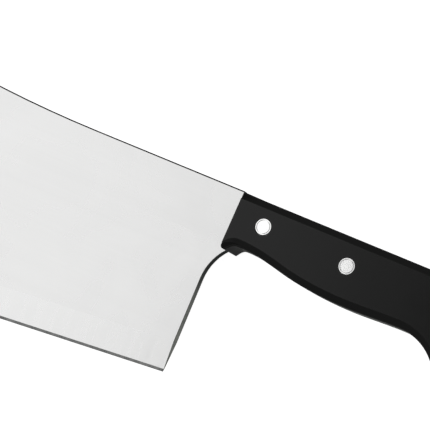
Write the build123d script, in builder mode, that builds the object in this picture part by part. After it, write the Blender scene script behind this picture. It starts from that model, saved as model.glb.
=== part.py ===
from build123d import *
import os

# A butcher's cleaver with a full tang, lying flat. +X runs to the butt of the grip, +Y to the spine,
# +Z is square to the blade, and the back scale's flat face rests on z = 0. All in millimetres.

os.makedirs("parts", exist_ok=True)

# Datum: the top front corner of the grip, measured from the middle of the whole outline
grip_front_x = 33.49
grip_top_y = 42.0

# Blade, in datum coordinates
blade_thickness = 4.0
spine_rise = 0.8  # the spine stands this far above the top of the grip
spine_dip = 2.8  # and dips below it over this length in front of the scales
spine_straight = 75.0
front_top = (-178.0, 9.0)
front_bottom = (-184.0, -82.0)
front_top_radius = 9.0
belly_start = (-112.0, -90.8)
heel_corner = (-4.1, -80.0)
heel_top = (-5.05, -39.0)
choil_end = (0.5, -24.2)
spine_break = 0.6

# Edge of the blade: a main bevel ground on both faces, then a narrow cutting bevel
bevel_height = 13.0
shoulder_half = 0.45  # half thickness where the main bevel meets the cutting bevel
cutting_bevel_height = 1.2
land_half = 0.05  # half thickness left at the sharpened edge
bevel_overrun = 12.0
bevel_margin = 1.0

# Grip outline, shared by the two scales and by the tang between them, in datum coordinates
grip_length = 118.0
butt_foot = (112.5, -36.2)
beak = (101.5, -36.2)
beak_root = (98.0, -32.7)
waist = (82.5, -26.3)
belly_points = [(61.0, -27.2), (30.3, -25.0)]
notch = (6.5, -21.5)
lip_foot = (2.0, -24.5)
lip_nose = (0.5, -24.35)
lip_top = (0.0, -23.4)
lip_slope = (-0.84, -0.54)
overrun_foot = (-8.0, -30.9)  # where the border ends, past the lip
trim_margin = 2.0
butt_radius = 6.0
beak_radius = 4.5

# Scales
scale_thickness = 7.0
border_width = 3.0  # a flat border is cut all round the outer face at 45 degrees
border_rounding = 2.4
shoulder_length = 10.0  # near the front end the border rises to meet the outer face
shoulder_drop = 0.35
shoulder_radius = 0.8

# Rivets: a sleeve from the back and a post from the front meet inside the tang
rivet_places = {"front": (13.8, -10.2), "middle": (52.9, -11.9), "rear": (97.0, -14.0)}
head_radius = 3.5
head_height = 2.5
rim_break = 0.2  # the rim of each head is eased, which leaves a fine groove round it
ring_radius = 2.8  # a fine turned ring on each head
ring_depth = 0.15
sleeve_radius = 2.5
sleeve_length = 12.5
bore_depth = 11.0
post_radius = 1.6
post_length = 11.0

# Hanging hole, in datum coordinates
hanging_hole = (-164.0, -13.0)
hanging_hole_radius = 4.5

blade_z = scale_thickness
front_scale_z = blade_z + blade_thickness
grip_thickness = front_scale_z + scale_thickness

datum = Plane(origin=(grip_front_x, grip_top_y, 0))
blade_plane = datum.offset(blade_z)
blade_middle = datum.offset(blade_z + blade_thickness / 2)
front_scale_plane = datum.offset(front_scale_z)
front_face_plane = datum.offset(grip_thickness)


def corners_at(builder, *places):
    """Pick the corners of a drawing that stand at the given places."""
    return [min(builder.vertices(), key=lambda v: (Vector(v) - Vector(*p)).length) for p in places]


# The grip's outline, run on past its front end so that the border can be cut right along it
with BuildSketch() as border_face:
    with BuildLine():
        Polyline((overrun_foot[0], 0), (grip_length, 0), butt_foot, beak, beak_root)
        TangentArc(waist, beak_root, tangent=(1, 0))
        Spline(waist, *belly_points, notch, tangents=[(-1, 0), (-1, 0)])
        Spline(notch, lip_foot, overrun_foot, tangents=[(-1, 0), lip_slope])
        Line(overrun_foot, (overrun_foot[0], 0))
    make_face()
    fillet(corners_at(border_face, (grip_length, 0), butt_foot), butt_radius)
    fillet(corners_at(border_face, beak), beak_radius)

# What is cut off in front of the grip, down to the rounded lip in front of the fingers
with BuildSketch() as front_cut:
    with BuildLine():
        Polyline(
            lip_foot,
            (lip_foot[0], butt_foot[1]),
            (overrun_foot[0] - trim_margin, butt_foot[1]),
            (overrun_foot[0] - trim_margin, trim_margin),
            (0, trim_margin),
            lip_top,
        )
        ThreePointArc(lip_top, lip_nose, lip_foot)
    make_face()

with BuildSketch() as grip_face:
    add(border_face.sketch)
    add(front_cut.sketch, mode=Mode.SUBTRACT)

edge_run = Vector(*heel_corner) - Vector(*belly_start)

with BuildSketch() as blade_face:
    with BuildLine():
        Line((-spine_dip, spine_rise), (-spine_straight, spine_rise))
        TangentArc((-spine_straight, spine_rise), front_top, tangent=(-1, 0))
        Line(front_top, front_bottom)
        TangentArc(belly_start, front_bottom, tangent=-edge_run)
        Polyline(belly_start, heel_corner, heel_top)
        TangentArc(heel_top, choil_end, tangent=Vector(*heel_top) - Vector(*heel_corner))
        Polyline(choil_end, (choil_end[0], -spine_rise), (0, -spine_rise), (-spine_dip, spine_rise))
    make_face()
    fillet(corners_at(blade_face, front_top), front_top_radius)
    with Locations(hanging_hole):
        Circle(hanging_hole_radius, mode=Mode.SUBTRACT)

# The stock ground away along the front face of the cutting edge, past both of its ends
with BuildPart() as bevel_stock:
    with BuildLine(blade_middle) as cutting_edge:
        heel_end = tuple(Vector(*heel_corner) + edge_run.normalized() * bevel_overrun)
        Line(heel_end, belly_start)
        belly = TangentArc(belly_start, front_bottom, tangent=-edge_run)
        Line(belly @ 1, belly @ 1 + (belly % 1) * bevel_overrun)
    bevel_plane = Plane(
        origin=blade_middle.from_local_coords(heel_end),
        x_dir=(0, 0, 1),
        z_dir=-edge_run,
    )
    with BuildSketch(bevel_plane):
        with BuildLine():
            Polyline(
                (land_half, -bevel_margin),
                (land_half, 0),
                (shoulder_half, cutting_bevel_height),
                (blade_thickness / 2, bevel_height),
                (blade_thickness, bevel_height),
                (blade_thickness, -bevel_margin),
                close=True,
            )
        make_face()
    sweep()

# Blade and full tang, blanked from one sheet, with the bevels ground on both faces
with BuildPart() as blade:
    with BuildSketch(blade_plane):
        add(blade_face.sketch)
        add(grip_face.sketch)
        with Locations(*rivet_places.values()):
            Circle(sleeve_radius, mode=Mode.SUBTRACT)
    extrude(amount=blade_thickness)
    upper_edges = blade.edges().filter_by(lambda e: e.center().Y > grip_top_y + spine_rise / 2)
    chamfer(upper_edges.filter_by(Axis.Z, reverse=True), spine_break)
    add(bevel_stock.part, mode=Mode.SUBTRACT)
    add(bevel_stock.part.mirror(blade_middle), mode=Mode.SUBTRACT)
blade.part.label = "blade"
export_step(blade.part, "parts/blade.step")

# The front end of each scale, where the border dies out
shoulder_top = scale_thickness - shoulder_drop
shoulder_rise = border_width / shoulder_length
with BuildPart() as shoulder:
    with BuildSketch(front_scale_plane):
        add(border_face.sketch)
    extrude(amount=scale_thickness + border_width)
    with BuildSketch(Plane(origin=front_scale_plane.origin, x_dir=(1, 0, 0), z_dir=(0, -1, 0))):
        with BuildLine():
            Polyline(
                (overrun_foot[0], 0),
                (overrun_foot[0], shoulder_top - shoulder_rise * overrun_foot[0]),
                (shoulder_length, shoulder_top - border_width),
                (shoulder_length, 0),
                close=True,
            )
        make_face()
    extrude(amount=grip_length, both=True, mode=Mode.INTERSECT)
    slope = shoulder.faces().sort_by(Axis.Z)[-1].edges()
    ends = (grip_front_x + overrun_foot[0] + 0.1, grip_front_x + shoulder_length - 0.1)
    fillet(slope.filter_by(lambda e: ends[0] < e.center().X < ends[1]), shoulder_radius)

# Front scale, moulded in black plastic with a border all along its outline but at the front end
with BuildPart() as front_scale:
    with BuildSketch(front_scale_plane):
        add(border_face.sketch)
    extrude(amount=scale_thickness)
    front_end = front_scale.faces().sort_by(Axis.X)[0].center().X
    rim = front_scale.faces().sort_by(Axis.Z)[-1].edges()
    chamfer(rim.filter_by(lambda e: e.center().X > front_end + 1), border_width)
    border_foot = front_scale_z + scale_thickness - border_width
    foot = front_scale.edges().filter_by(
        lambda e: e.center().X > front_end + 1
        and abs(e.center().Z - border_foot) < 0.01
        and e.bounding_box().size.Z < 0.01
    )
    fillet(foot, border_rounding)
    add(shoulder.part)
    with BuildSketch(front_scale_plane):
        add(front_cut.sketch)
    extrude(amount=2 * scale_thickness, mode=Mode.SUBTRACT)
    with Locations(front_face_plane):
        with Locations(*rivet_places.values()):
            CounterBoreHole(sleeve_radius, head_radius, head_height)
front_scale.part.label = "front_scale"
export_step(front_scale.part, "parts/front_scale.step")

# Back scale, the mirror image of the front one
with BuildPart() as back_scale:
    add(front_scale.part.mirror(blade_middle))
back_scale.part.label = "back_scale"
export_step(back_scale.part, "parts/back_scale.step")

# Three cutlery rivets, each a headed sleeve and a headed post pressed into it
for name, place in rivet_places.items():
    rivet_centre = datum.from_local_coords(place)
    rivet_axis = Axis(rivet_centre, (0, 0, 1))
    rivet_plane = Plane(origin=rivet_centre, x_dir=(1, 0, 0), z_dir=(0, -1, 0))
    head_profile = [
        (ring_radius + ring_depth, 0),
        (ring_radius, ring_depth),
        (ring_radius - ring_depth, 0),
    ]

    with BuildPart() as sleeve:
        with BuildSketch(rivet_plane):
            with BuildLine():
                Polyline(
                    (0, 0),
                    *reversed(head_profile),
                    (head_radius - rim_break, 0),
                    (head_radius, rim_break),
                    (head_radius, head_height),
                    (sleeve_radius, head_height),
                    (sleeve_radius, head_height + sleeve_length),
                    (post_radius, head_height + sleeve_length),
                    (post_radius, head_height + sleeve_length - bore_depth),
                    (0, head_height + sleeve_length - bore_depth),
                    close=True,
                )
            make_face()
        revolve(axis=rivet_axis)
    sleeve.part.label = f"{name}_rivet_sleeve"
    export_step(sleeve.part, f"parts/{name}_rivet_sleeve.step")

    with BuildPart() as post:
        with BuildSketch(rivet_plane):
            with BuildLine():
                Polyline(
                    (0, grip_thickness),
                    *[(x, grip_thickness - y) for x, y in reversed(head_profile)],
                    (head_radius - rim_break, grip_thickness),
                    (head_radius, grip_thickness - rim_break),
                    (head_radius, grip_thickness - head_height),
                    (post_radius, grip_thickness - head_height),
                    (post_radius, grip_thickness - head_height - post_length),
                    (0, grip_thickness - head_height - post_length),
                    close=True,
                )
            make_face()
        revolve(axis=rivet_axis)
    post.part.label = f"{name}_rivet_post"
    export_step(post.part, f"parts/{name}_rivet_post.step")
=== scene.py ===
import math

import bpy
from mathutils import Matrix, Vector


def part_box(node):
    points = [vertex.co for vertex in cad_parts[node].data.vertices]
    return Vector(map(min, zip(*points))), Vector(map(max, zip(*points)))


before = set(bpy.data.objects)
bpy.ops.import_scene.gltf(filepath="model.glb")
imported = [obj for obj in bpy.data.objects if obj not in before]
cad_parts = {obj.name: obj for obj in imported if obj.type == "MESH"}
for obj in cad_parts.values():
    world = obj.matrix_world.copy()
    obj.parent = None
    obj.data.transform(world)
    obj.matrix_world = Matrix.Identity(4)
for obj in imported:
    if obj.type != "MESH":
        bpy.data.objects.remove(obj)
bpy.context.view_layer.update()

# ---- Blade -------------------------------------------------------------------------------
# One 4 mm sheet of stainless steel, blanked to its outline, tang and all. Both faces are satin
# finished along the length and the bevels are ground across the edge. The rim keeps the coarse
# finish of the wheel that shaped it, and in the choil under the grip it is painted near-black,
# as painted shade.


def fit(tree, kind, feeds=(), **settings):
    """A node of that kind in the tree, each named socket fed by another socket or set to a value."""
    node = tree.nodes.new(kind)
    for name, value in settings.items():
        setattr(node, name, value)
    for socket, value in dict(feeds).items():
        if isinstance(value, bpy.types.NodeSocket):
            tree.links.new(value, node.inputs[socket])
        else:
            node.inputs[socket].default_value = value
    return node


def effect(name, inlets, outlets):
    """An empty shader group, with inlets and outlets given as names and their socket types."""
    tree = bpy.data.node_groups.new(name, "ShaderNodeTree")
    for inlet, kind in inlets.items():
        tree.interface.new_socket(name=inlet, in_out="INPUT", socket_type=kind)
    for outlet, kind in outlets.items():
        tree.interface.new_socket(name=outlet, in_out="OUTPUT", socket_type=kind)
    return tree, tree.nodes.new("NodeGroupInput").outputs, tree.nodes.new("NodeGroupOutput").inputs


def calculate(tree, operation, first, second=0.0):
    """One step of arithmetic, such as ADD or ABSOLUTE, on one or two numbers or sockets."""
    return fit(tree, "ShaderNodeMath", {0: first, 1: second}, operation=operation).outputs[0]


def noise(tree, feeds, **settings):
    """A noise texture with those settings, as one number from 0 to 1."""
    return fit(tree, "ShaderNodeTexNoise", feeds, **settings).outputs[0]


def ramp(tree, value, low, high, out_low=0.0, out_high=1.0):
    """The value spread from low..high to out_low..out_high, and held at both ends."""
    feeds = {"Value": value, "From Min": low, "From Max": high, "To Min": out_low, "To Max": out_high}
    return fit(tree, "ShaderNodeMapRange", feeds).outputs["Result"]


def blend_colour(tree, share, first, second):
    """The first colour where share is 0, and the second where it is 1."""
    feeds = {"Factor": share, 6: first, 7: second}
    return fit(tree, "ShaderNodeMix", feeds, data_type="RGBA").outputs[2]


def blend_value(tree, share, first, second):
    """The first number where share is 0, and the second where it is 1."""
    return fit(tree, "ShaderNodeMix", {"Factor": share, "A": first, "B": second}).outputs["Result"]


def paint(name):
    """A new material, with its node tree and its surface shader."""
    material = bpy.data.materials.new(name)
    material.use_nodes = True
    return material, material.node_tree, material.node_tree.nodes["Principled BSDF"]


def roughen(tree, surface, height, strength, depth):
    """Give the surface a fine relief from that height, with depth in metres."""
    relief = fit(tree, "ShaderNodeBump", {"Height": height, "Strength": strength, "Distance": depth})
    tree.links.new(relief.outputs[0], surface.inputs["Normal"])


# The marks of a wheel or belt: long streaks along one direction, coarse and fine together.
grinding, given, out = effect(
    "grinding marks",
    {
        "Place": "NodeSocketVector",
        "Turn": "NodeSocketFloat",
        "Length": "NodeSocketFloat",
        "Width": "NodeSocketFloat",
    },
    {"Streaks": "NodeSocketFloat", "Scratches": "NodeSocketFloat"},
)
turned = {"Vector": given["Place"], "Angle": given["Turn"]}
laid = fit(grinding, "ShaderNodeVectorRotate", turned, rotation_type="Z_AXIS").outputs[0]
one_mark = {"X": given["Length"], "Y": given["Width"], "Z": given["Width"]}
one_mark = fit(grinding, "ShaderNodeCombineXYZ", one_mark).outputs[0]
drawn_out = fit(grinding, "ShaderNodeVectorMath", {0: laid, 1: one_mark}, operation="DIVIDE").outputs[0]
fine = noise(grinding, {"Vector": drawn_out, "Scale": 1.0, "Detail": 3.0, "Roughness": 0.65})
wide = noise(grinding, {"Vector": drawn_out, "Scale": 0.11, "Detail": 2.0, "Roughness": 0.5})
rare = noise(grinding, {"Vector": drawn_out, "Scale": 0.45, "Detail": 1.0, "Roughness": 0.4})
grinding.links.new(ramp(grinding, calculate(grinding, "ADD", fine, wide), 0.6, 1.4), out["Streaks"])
grinding.links.new(ramp(grinding, rare, 0.70, 0.78), out["Scratches"])

# What wiping and handling leave on a hard surface: wide soft clouds.
wiping, given, out = effect(
    "wipe marks",
    {"Place": "NodeSocketVector", "Patch": "NodeSocketFloat"},
    {"Clouds": "NodeSocketFloat"},
)
spread = {0: given["Place"], "Scale": given["Patch"]}
spread = fit(wiping, "ShaderNodeVectorMath", spread, operation="SCALE").outputs[0]
swirl = {"Vector": spread, "Scale": 1.0, "Detail": 5.0, "Roughness": 0.55, "Distortion": 0.6}
wiping.links.new(ramp(wiping, noise(wiping, swirl), 0.3, 0.7), out["Clouds"])

satin_grey, satin_pale = (0.70, 0.70, 0.697, 1), (0.72, 0.72, 0.717, 1)
bevel_grey, bevel_pale = (0.72, 0.72, 0.717, 1), (0.77, 0.77, 0.767, 1)
# The cutting bevel is painted far darker than the faces, by its lean: painted shade.
cut_shade_grey, cut_shade_pale = (0.16, 0.165, 0.165, 1), (0.34, 0.34, 0.335, 1)
rim_grey, rim_pale = (0.50, 0.53, 0.48, 1), (0.92, 0.95, 0.88, 1)
# Near-black for the rim in the choil under the grip: painted shade.
choil_shade_grey, choil_shade_pale = (0.05, 0.055, 0.05, 1), (0.12, 0.13, 0.12, 1)
# Painted shade: a thin line along both edges of the rim, and the chamfers of the rim.
edge_shade_grey, break_shade_grey = (0.10, 0.105, 0.10, 1), (0.07, 0.072, 0.07, 1)
satin_mark = {"Turn": 0.0, "Length": 0.070, "Width": 0.00045}
bevel_mark = {"Turn": math.radians(90), "Length": 0.030, "Width": 0.00050}
rim_mark = {"Length": 0.006, "Width": 0.0006}
satin_rough, bevel_rough, rim_rough = (0.24, 0.30), (0.24, 0.36), (0.42, 0.60)
scratch_depth = 0.4  # against 1 for the streaks

# Each ground surface is known by its lean: 1 lies flat, and 0 stands square to the sheet.
bevel_lean, cutting_bevel_lean = (0.9992, 0.9975), (0.985, 0.965)
rim_lean, break_lean = (0.92, 0.88), (0.2, 0.4)

# A thin line of painted shade runs along both edges of the rim, measured from the middle of the
# sheet. The choil is the hollow of the rim between the heel and the grip, and its painted shade
# fades in over each pair.
edge_shade_start, edge_shade_full = 0.0014, 0.0018
blade_low, blade_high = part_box("blade")
grip_low, grip_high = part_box("front_scale")
choil_foot = (grip_high.y - 0.054, grip_high.y - 0.034)
choil_front = (grip_low.x - 0.0115, grip_low.x - 0.0075)
choil_back = (grip_low.x + 0.0265, grip_low.x + 0.0105)

satin_steel, steel, surface = paint("satin_steel")
place = fit(steel, "ShaderNodeTexCoord").outputs
where = fit(steel, "ShaderNodeSeparateXYZ", {0: place["Object"]}).outputs
facing = fit(steel, "ShaderNodeSeparateXYZ", {0: place["Normal"]}).outputs

lean = calculate(steel, "ABSOLUTE", facing["Z"])
on_bevel = ramp(steel, lean, *bevel_lean)
on_cutting_bevel = ramp(steel, lean, *cutting_bevel_lean)
on_rim = ramp(steel, lean, *rim_lean)
on_break = ramp(steel, lean, *break_lean)
off_middle = calculate(steel, "SUBTRACT", where["Z"], (blade_low.z + blade_high.z) / 2)
on_edge_shade = ramp(steel, calculate(steel, "ABSOLUTE", off_middle), edge_shade_start, edge_shade_full)
in_choil = calculate(
    steel, "MULTIPLY", ramp(steel, where["Y"], *choil_foot), ramp(steel, where["X"], *choil_front)
)
in_choil = calculate(steel, "MULTIPLY", in_choil, ramp(steel, where["X"], *choil_back))

along = fit(steel, "ShaderNodeGroup", {"Place": place["Object"], **satin_mark}, node_tree=grinding)
across = fit(steel, "ShaderNodeGroup", {"Place": place["Object"], **bevel_mark}, node_tree=grinding)
on_end = fit(steel, "ShaderNodeCombineXYZ", {"X": where["Z"], "Y": where["Y"], "Z": where["X"]})
upright = {"Place": on_end.outputs[0], **rim_mark}
upright = fit(steel, "ShaderNodeGroup", upright, node_tree=grinding).outputs["Streaks"]
wiped = {"Place": place["Object"], "Patch": 34.0}
wiped = fit(steel, "ShaderNodeGroup", wiped, node_tree=wiping).outputs["Clouds"]
streaks = blend_value(steel, on_bevel, along.outputs["Streaks"], across.outputs["Streaks"])
scratches = blend_value(steel, on_bevel, along.outputs["Scratches"], across.outputs["Scratches"])

sheet = blend_colour(steel, streaks, satin_grey, satin_pale)
sheet = blend_colour(steel, on_bevel, sheet, blend_colour(steel, streaks, bevel_grey, bevel_pale))
# Painted shade: the cutting bevel gets the dark colours, picked by which way it leans.
sheet = blend_colour(steel, on_cutting_bevel, sheet, blend_colour(steel, streaks, cut_shade_grey, cut_shade_pale))
rim = blend_colour(steel, upright, rim_grey, rim_pale)
# In the choil under the grip the rim is painted near-black, as painted shade.
rim = blend_colour(steel, in_choil, rim, blend_colour(steel, upright, choil_shade_grey, choil_shade_pale))
# A thin dark line along both edges of the rim is painted shade.
rim = blend_colour(steel, on_edge_shade, rim, edge_shade_grey)
# The chamfers of the rim are painted dark by their lean, as painted shade.
rim = blend_colour(steel, on_break, rim, break_shade_grey)
steel.links.new(blend_colour(steel, on_rim, sheet, rim), surface.inputs["Base Color"])
surface.inputs["Metallic"].default_value = 1.0
gloss = blend_value(steel, wiped, *satin_rough)
gloss = blend_value(steel, on_bevel, gloss, blend_value(steel, streaks, *bevel_rough))
gloss = blend_value(steel, on_rim, gloss, blend_value(steel, streaks, *rim_rough))
steel.links.new(gloss, surface.inputs["Roughness"])
height = calculate(steel, "SUBTRACT", streaks, calculate(steel, "MULTIPLY", scratches, scratch_depth))
roughen(steel, surface, height, strength=0.30, depth=0.00001)
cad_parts["blade"].material_slots[0].material = satin_steel

# ---- Scales ------------------------------------------------------------------------------
# Two handle scales moulded in hard black acetal, one on each face of the tang, and held by the
# rivets. The mould leaves a fine even grain, and the rounded border and the corners are rubbed
# smoother by the hand.

# Where a corner has been rubbed: a mask that is 1 on the corner and fades into the face.
rubbing, given, out = effect(
    "rubbed corners",
    {"Place": "NodeSocketVector", "Reach": "NodeSocketFloat", "Patch": "NodeSocketFloat"},
    {"Rubbed": "NodeSocketFloat"},
)
softened = fit(rubbing, "ShaderNodeBevel", {"Radius": given["Reach"]}, samples=6).outputs[0]
both_normals = {0: softened, 1: fit(rubbing, "ShaderNodeNewGeometry").outputs["Normal"]}
agree = fit(rubbing, "ShaderNodeVectorMath", both_normals, operation="DOT_PRODUCT").outputs["Value"]
spread = {0: given["Place"], "Scale": given["Patch"]}
spread = fit(rubbing, "ShaderNodeVectorMath", spread, operation="SCALE").outputs[0]
patches = noise(rubbing, {"Vector": spread, "Scale": 1.0, "Detail": 4.0, "Roughness": 0.6})
patches = ramp(rubbing, patches, 0.35, 0.62, 0.25, 1.0)
on_corner = ramp(rubbing, agree, 0.995, 0.90)
rubbing.links.new(calculate(rubbing, "MULTIPLY", on_corner, patches), out["Rubbed"])

black, black_wiped = (0.0022, 0.0024, 0.0022, 1), (0.0036, 0.0038, 0.0035, 1)
black_rubbed = (0.012, 0.013, 0.012, 1)
rubbed_reach = 0.0011

black_acetal, plastic, surface = paint("black_acetal")
place = fit(plastic, "ShaderNodeTexCoord").outputs
handled = {"Place": place["Object"], "Patch": 55.0}
handled = fit(plastic, "ShaderNodeGroup", handled, node_tree=wiping).outputs["Clouds"]
rubbed = {"Place": place["Object"], "Reach": rubbed_reach, "Patch": 160.0}
rubbed = fit(plastic, "ShaderNodeGroup", rubbed, node_tree=rubbing).outputs["Rubbed"]
body = blend_colour(plastic, handled, black, black_wiped)
body = blend_colour(plastic, rubbed, body, black_rubbed)
plastic.links.new(body, surface.inputs["Base Color"])
gloss = blend_value(plastic, rubbed, blend_value(plastic, handled, 0.31, 0.36), 0.26)
plastic.links.new(gloss, surface.inputs["Roughness"])
surface.inputs["Specular IOR Level"].default_value = 0.31
grain = noise(plastic, {"Vector": place["Object"], "Scale": 2600.0, "Detail": 2.0, "Roughness": 0.5})
roughen(plastic, surface, grain, strength=0.35, depth=0.00002)
for scale in ("front_scale", "back_scale"):
    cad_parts[scale].material_slots[0].material = black_acetal

# ---- Rivets ------------------------------------------------------------------------------
# Three cutlery rivets of bright aluminium, each a headed sleeve from the back with a headed post
# pressed into it from the front. The heads are faced off level with the scales, which leaves fine
# rings, and a little dirt stays in the joint round each.

turned_grey, turned_pale = (0.90, 0.90, 0.895, 1), (0.96, 0.96, 0.955, 1)
dirt_grey = (0.30, 0.30, 0.29, 1)
dirt_from, dirt_to = 0.95, 0.995  # as a share of the head's radius

bright_aluminium, alloy, surface = paint("bright_aluminium")
place = fit(alloy, "ShaderNodeTexCoord").outputs
off_axis = {0: place["Generated"], 1: (0.5, 0.5, 0.0)}
off_axis = fit(alloy, "ShaderNodeVectorMath", off_axis, operation="SUBTRACT").outputs[0]
off_axis = {0: off_axis, 1: (2.0, 2.0, 0.0)}
off_axis = fit(alloy, "ShaderNodeVectorMath", off_axis, operation="MULTIPLY").outputs[0]
out_from_axis = fit(alloy, "ShaderNodeVectorMath", {0: off_axis}, operation="LENGTH").outputs["Value"]
rings = {"W": out_from_axis, "Scale": 26.0, "Detail": 3.0, "Roughness": 0.6}
rings = noise(alloy, rings, noise_dimensions="1D")
metal = blend_colour(alloy, rings, turned_grey, turned_pale)
metal = blend_colour(alloy, ramp(alloy, out_from_axis, dirt_from, dirt_to), metal, dirt_grey)
alloy.links.new(metal, surface.inputs["Base Color"])
surface.inputs["Metallic"].default_value = 1.0
alloy.links.new(ramp(alloy, rings, 0.3, 0.7, 0.12, 0.20), surface.inputs["Roughness"])
roughen(alloy, surface, rings, strength=0.3, depth=0.00002)
for seat in ("front", "middle", "rear"):
    for half in ("sleeve", "post"):
        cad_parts[f"{seat}_rivet_{half}"].material_slots[0].material = bright_aluminium

# ---- Table -------------------------------------------------------------------------------
# A wide white table top, just under the cleaver. It is lit from within so that it stays plain
# white with no shadow, and the cleaver neither mirrors it nor takes light from it.

table_reach, table_drop = 4.0, 0.0001
table_corners = [(-1, -1), (1, -1), (1, 1), (-1, 1)]
table_corners = [(x * table_reach, y * table_reach, -table_drop) for x, y in table_corners]
table_mesh = bpy.data.meshes.new("table")
table_mesh.from_pydata(table_corners, [], [(0, 1, 2, 3)])
table = bpy.data.objects.new("table", table_mesh)
bpy.context.scene.collection.objects.link(table)
white_top, _, surface = paint("white_top")
surface.inputs["Base Color"].default_value = (0.9, 0.9, 0.9, 1)
surface.inputs["Roughness"].default_value = 0.9
surface.inputs["Specular IOR Level"].default_value = 0.1
surface.inputs["Emission Color"].default_value = (1, 1, 1, 1)
surface.inputs["Emission Strength"].default_value = 0.85
table_mesh.materials.append(white_top)
table.visible_glossy = False
table.visible_diffuse = False

# ---- Light -------------------------------------------------------------------------------
# A room with pale walls, a dim ceiling and darkness low all round, which draws the dark outline on
# the rims, and one large softbox over the blade. Behind the cleaver the room is seen plain white.

room = bpy.data.worlds.new("room")
bpy.context.scene.world = room
room.use_nodes = True
walls = room.node_tree
toward = fit(walls, "ShaderNodeTexCoord").outputs["Generated"]
upward = fit(walls, "ShaderNodeSeparateXYZ", {0: toward}).outputs["Z"]
# By height, where 0 is level and 1 is overhead: dark at the foot, pale above, dim at the top.
near_floor = ramp(walls, upward, 0.08, 0.42, 0.16, 0.60)
near_ceiling = ramp(walls, upward, 0.66, 0.88, 1.0, 0.20)
room_light = calculate(walls, "MULTIPLY", near_floor, near_ceiling)
plain_white = 1.1
seen = fit(walls, "ShaderNodeLightPath").outputs["Is Camera Ray"]
room_light = blend_value(walls, seen, room_light, plain_white)
walls.links.new(room_light, walls.nodes["Background"].inputs["Strength"])
walls.nodes["Background"].inputs["Color"].default_value = (1, 1, 1, 1)

box_width, box_depth, box_radiance = 0.605, 0.80, 1.02
box_middle = Vector((-0.3775, 0.02, 0.55))
softbox_light = bpy.data.lights.new("over_the_blade", "AREA")
softbox_light.shape = "RECTANGLE"
softbox_light.size, softbox_light.size_y = box_width, box_depth
softbox_light.energy = box_radiance * math.pi * box_width * box_depth
softbox = bpy.data.objects.new("over_the_blade", softbox_light)
softbox.location = box_middle
softbox.rotation_euler = Vector((0, 0, -box_middle.z)).to_track_quat("-Z", "Y").to_euler()
softbox.visible_camera = False
bpy.context.scene.collection.objects.link(softbox)

# ---- Camera ------------------------------------------------------------------------------
# A long lens about a metre off, from above the flat side, a little towards the butt and the edge,
# and rolled so that the cleaver runs down to the right.

turn, tilt, roll, distance = math.radians(22), math.radians(-3), math.radians(23.91), 1.0
aim = Vector((0.02244, 0.02920, 0.009))
back = Vector((math.sin(turn) * math.cos(tilt), math.sin(tilt), math.cos(turn) * math.cos(tilt)))
level = Vector((0, 1, 0)).cross(back).normalized()
right = level * math.cos(roll) + back.cross(level) * math.sin(roll)
lens = bpy.data.cameras.new("camera")
lens.lens, lens.sensor_width = 204.3, 36.0
lens.clip_start, lens.clip_end = 0.05, 20.0
camera = bpy.data.objects.new("camera", lens)
stance = Matrix((right, back.cross(right), back)).transposed().to_4x4()
camera.matrix_world = Matrix.Translation(aim + back * distance) @ stance
bpy.context.scene.collection.objects.link(camera)
bpy.context.scene.camera = camera
bpy.context.scene.view_settings.view_transform = "Standard"
